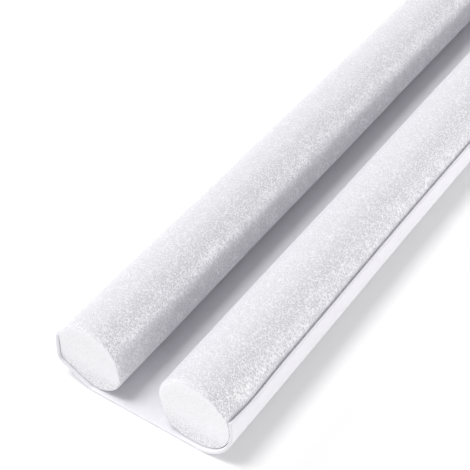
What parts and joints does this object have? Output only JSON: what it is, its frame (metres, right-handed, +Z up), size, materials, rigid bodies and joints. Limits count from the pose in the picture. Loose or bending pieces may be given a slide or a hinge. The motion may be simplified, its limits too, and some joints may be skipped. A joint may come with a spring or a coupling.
{
  "type": "twin draught excluder",
  "caption": "Twin draught excluder: foam rolls held in the curled edges of a flat carrier sheet that slides under a door.",
  "frame": {"origin": "centre of the footprint, on the floor that the carrier sheet lies on", "axes": "+Y along the rolls, away from the end that the picture shows; +X across the door, towards the roll whose sheet edge curls higher; +Z up"},
  "size_m": [0.1762, 0.9, 0.071],
  "materials": {
    "foam": "soft white closed-cell foam with fine bead grain, matte",
    "sheet": "smooth white flexible sheet, satin matte"
  },
  "bodies": {
    "root": {"roll_left": "foam", "roll_right": "foam", "carrier_sheet": "sheet"}
  },
  "joints": []
}
